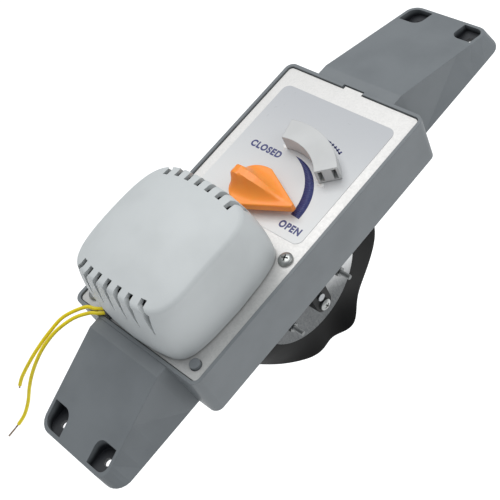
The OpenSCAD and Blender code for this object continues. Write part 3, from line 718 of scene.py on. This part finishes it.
def pan_head(low, high):
    """Screw in its node's box: a shank, and a dome whose height falls off as a circle's arc."""
    head, foot = (high.x - low.x) / 2, high.z - 2.8 * MM
    dome = [(head * cos(a), high.z + dome_h * (sin(a) - 1)) for a in np.linspace(0, pi / 2, 9)[:-1]]
    return [(shank_r, low.z), (shank_r, foot), (head * 0.94, foot),
            (head, foot + 0.3 * MM)] + dome + [(0.3 * MM, high.z)]


for k in (1, 2):
    low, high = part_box(f"plate_screw_{k}")
    middle = ((low.x + high.x) / 2, (low.y + high.y) / 2)
    screw = mesh_object(f"pan_screw_{k}", *capped(lathe(pan_head(low, high), 48, middle)),
                        screw_zinc.material, "frame", "screw_steel")
    for turn in (0.35, 0.35 + pi / 2):
        along = arm_l * np.array([cos(turn), sin(turn), 0])
        across = arm_half * np.array([-sin(turn), cos(turn), 0])
        flat = np.array([-along - across, along - across, along + across, -along + across])
        floor_at = flat * 0.45 + [*middle, high.z - recess]
        cut(screw, [capped(np.stack([floor_at, flat + [*middle, high.z + 0.4 * MM]]))])
    screw.data.polygons.foreach_set("use_smooth", np.ones(len(screw.data.polygons), bool))
    screw.data.set_sharp_from_angle(angle=radians(30))
    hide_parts(f"plate_screw_{k}")


# ---- Gears and bushes --------------------------------------------------------------------
# The sector gear and both bushes are moulded acetal; the output pinion is sintered brass.
acetal = moulded("acetal_cream", "#e8e4d8", "#ddd8c8", 0.35)
for node in ("sector_gear", "lower_bush", "upper_bush"):
    dress(node, acetal)
brass = Shade("pinion_brass", "#b8a070", 0.35, metallic=1.0)
brass.feed("Roughness", brass.noise(600, 2) * 0.3 + 0.2)
brass.relief(brass.noise(1200, 2), 0.01 * MM, 0.1 * MM)
dress("output_pinion", brass)


# ---- Blade -------------------------------------------------------------------------------
# Two galvanised discs clamp the rubber between them. Low down on the motor's side their colour is
# painted darker, as painted shade and painted reflection. A black bar ties the blade to the shaft
# with one screw and one rivet.
# The discs' darkening low down and towards the motor is painted shade and painted reflection, not a
# tarnish.
disc_zinc = galvanised("disc_zinc", "#e2e3e3", "#3c4042", 0.6, 0.04, 0.8,
                       lambda shade: (shade.z + shade.y * 0.5).clamp(-60 * MM, -90 * MM))
for node in ("front_disc", "rear_disc"):
    dress(node, disc_zinc)
bar_black = moulded("bar_black", "#0c0d0f", "#08090a", 0.42)
bar_black.shader.inputs["Specular IOR Level"].default_value = 0.2
dress("blade_bar", bar_black)


# ---- Studs -------------------------------------------------------------------------------
# Four threaded studs clamp the discs, each with a nut on both faces. They are cut from plated
# rod and stand well proud of the front.
stud_r, thread_pitch, thread_depth = 1.75 * MM, 1.0 * MM, 0.6 * MM
nut_r, nut_t = 3.4 * MM, 2.2 * MM


def threaded_bar(x0, x1, middle):
    """Bar along X: its radius less a triangle wave that climbs one pitch a turn."""
    x = np.arange(x0, x1, thread_pitch / 6)
    a = np.linspace(0, 2 * pi, 24, endpoint=False)
    wave = np.abs(((x[:, None] / thread_pitch + a[None] / (2 * pi)) % 1) - 0.5) * 2
    r = stud_r - thread_depth * wave
    return np.stack([np.broadcast_to(x[:, None], r.shape), middle[0] + r * np.cos(a),
                     middle[1] + r * np.sin(a)], -1)


def nut(x0, x1, middle):
    """Six-sided prism between two x positions."""
    a = np.linspace(0, 2 * pi, 6, endpoint=False)
    return np.stack([np.column_stack([np.full(6, x), middle[0] + nut_r * np.cos(a),
                                      middle[1] + nut_r * np.sin(a)]) for x in (x0, x1)])


stud_zinc = Shade("stud_zinc", "#7c7e7e", 0.34, metallic=1.0)
stud_zinc.feed("Roughness", stud_zinc.noise(500, 2) * 0.2 + 0.25)
stud_zinc.relief(stud_zinc.noise(900, 2), 0.004 * MM)
front_face, rear_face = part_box("front_disc")[1].x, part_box("rear_disc")[0].x
for k in range(1, 5):
    low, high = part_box(f"stud_{k}")
    middle = ((low.y + high.y) / 2, (low.z + high.z) / 2)
    parts = [capped(threaded_bar(low.x, high.x, middle)),
             capped(nut(front_face, front_face + nut_t, middle)),
             capped(nut(rear_face - nut_t, rear_face, middle))]
    stud = mesh_object(f"threaded_stud_{k}", *joined(parts), stud_zinc.material, "blade",
                       "screw_steel", 40)
    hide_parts(f"stud_{k}")


# ---- Rubber seal -------------------------------------------------------------------------
# A disc of black rubber between the steel ones. Its free edge seals on the duct wall and curls
# where it was last pressed.
seal_low, seal_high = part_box("rubber_seal")
seal_r = (seal_high.y - seal_low.y) / 2
seal_z = (seal_high.z + seal_low.z) / 2
disc_r = (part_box("front_disc")[1].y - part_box("front_disc")[0].y) / 2

# Height of each wave towards the front, its place round the rim and its width, in degrees.
rim_waves = ((9.5, -80, 13), (-1.8, -93, 7), (4.5, -107, 14), (-9, -150, 22),
             (3.6, -14, 24), (1.2, 60, 30))


def seal_surface():
    """Rubber disc as closed rings about the blade's centre: radius and face from a profile with
    a round rim, and an edge that leaves the flat with the square of its distance past the steel
    discs, times the sum of the rim waves, each a bell exp(-(turn / width) squared)."""
    t_seal, rim = seal_high.x - seal_low.x, 0.7 * MM
    radii = np.concatenate([np.linspace(0.5 * MM, disc_r, 6),
                            np.linspace(disc_r, seal_r - rim, 14)[1:]])
    bow = np.linspace(0, pi, 7)[1:-1]
    rim_r = seal_r - rim + rim * np.sin(bow)
    rim_x = t_seal / 2 * np.cos(bow)
    r = np.concatenate([radii, rim_r, radii[::-1]])
    face = np.full(len(radii), t_seal / 2)
    x = np.concatenate([face, rim_x, -face])
    a = np.linspace(0, 2 * pi, 144 * DENSE, endpoint=False)
    free = np.clip((r - disc_r) / (seal_r - disc_r), 0, 1)[:, None]
    bell = 0
    for size, at, width in rim_waves:
        off = (a - radians(at) + pi) % (2 * pi) - pi
        bell = bell + size * MM * np.exp(-off ** 2 / radians(width) ** 2)
    lift = free**2 * bell[None]
    return np.stack([(seal_low.x + seal_high.x) / 2 + x[:, None] + lift,
                     r[:, None] * np.cos(a)[None], seal_z + r[:, None] * np.sin(a)[None]], -1)


rubber = Shade("black_rubber", "#0e0e0e", 0.6, specular_ior_level=0.15)
bloom = rubber.noise(60, 4)
rubber.feed("Base Color", rubber.mix(bloom.clamp(0.4, 0.75), "#0e0e0e", "#171717"))
rubber.feed("Roughness", bloom * 0.25 + 0.42)
rubber.relief(rubber.noise(1100, 2), 0.04 * MM)
seal = mesh_object("rubber_disc", *flipped(capped(seal_surface())), rubber.material, "blade",
                   "black_rubber", 60)
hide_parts("rubber_seal")


# ---- Studio ------------------------------------------------------------------------------
# A plain pale floor well below the blade, one broad soft key overhead, a weaker fill.
floor_z = cad_box[0].z - 0.3
side = 3.0
corners = [(x * side, y * side, floor_z) for x, y in ((-1, -1), (1, -1), (1, 1), (-1, 1))]
floor_mesh = bpy.data.meshes.new("floor")
floor_mesh.from_pydata(corners, [], [(0, 1, 2, 3)])
floor = bpy.data.objects.new("floor", floor_mesh)
bpy.context.collection.objects.link(floor)
paper = Shade("floor_paper", "#f7f7f6", 0.9)
paper.relief(paper.noise(40, 2), 0.1 * MM)
paper.shader.inputs["Emission Color"].default_value = rgb("#ffffff")
paper.shader.inputs["Emission Strength"].default_value = 0.5
floor_mesh.materials.append(paper.material)

world = bpy.data.worlds.new("studio")
world.use_nodes = True
world.node_tree.nodes["Background"].inputs[0].default_value = (0.93, 0.96, 1.0, 1)
world.node_tree.nodes["Background"].inputs[1].default_value = 0.46
bpy.context.scene.world = world


def soft_light(name, place, size, power):
    """Square area light that faces the object's middle."""
    lamp = bpy.data.objects.new(name, bpy.data.lights.new(name, "AREA"))
    lamp.data.size, lamp.data.energy = size, power
    lamp.location = place
    lamp.rotation_mode = "QUATERNION"
    lamp.rotation_quaternion = (-lamp.location).to_track_quat("-Z", "Y")
    bpy.context.collection.objects.link(lamp)


soft_light("key", (-0.3, 0.3, 1.2), 0.9, 9.3)
soft_light("fill", (0.9, 0.6, 0.7), 0.8, 2.4)
bpy.context.scene.view_settings.view_transform = "Standard"
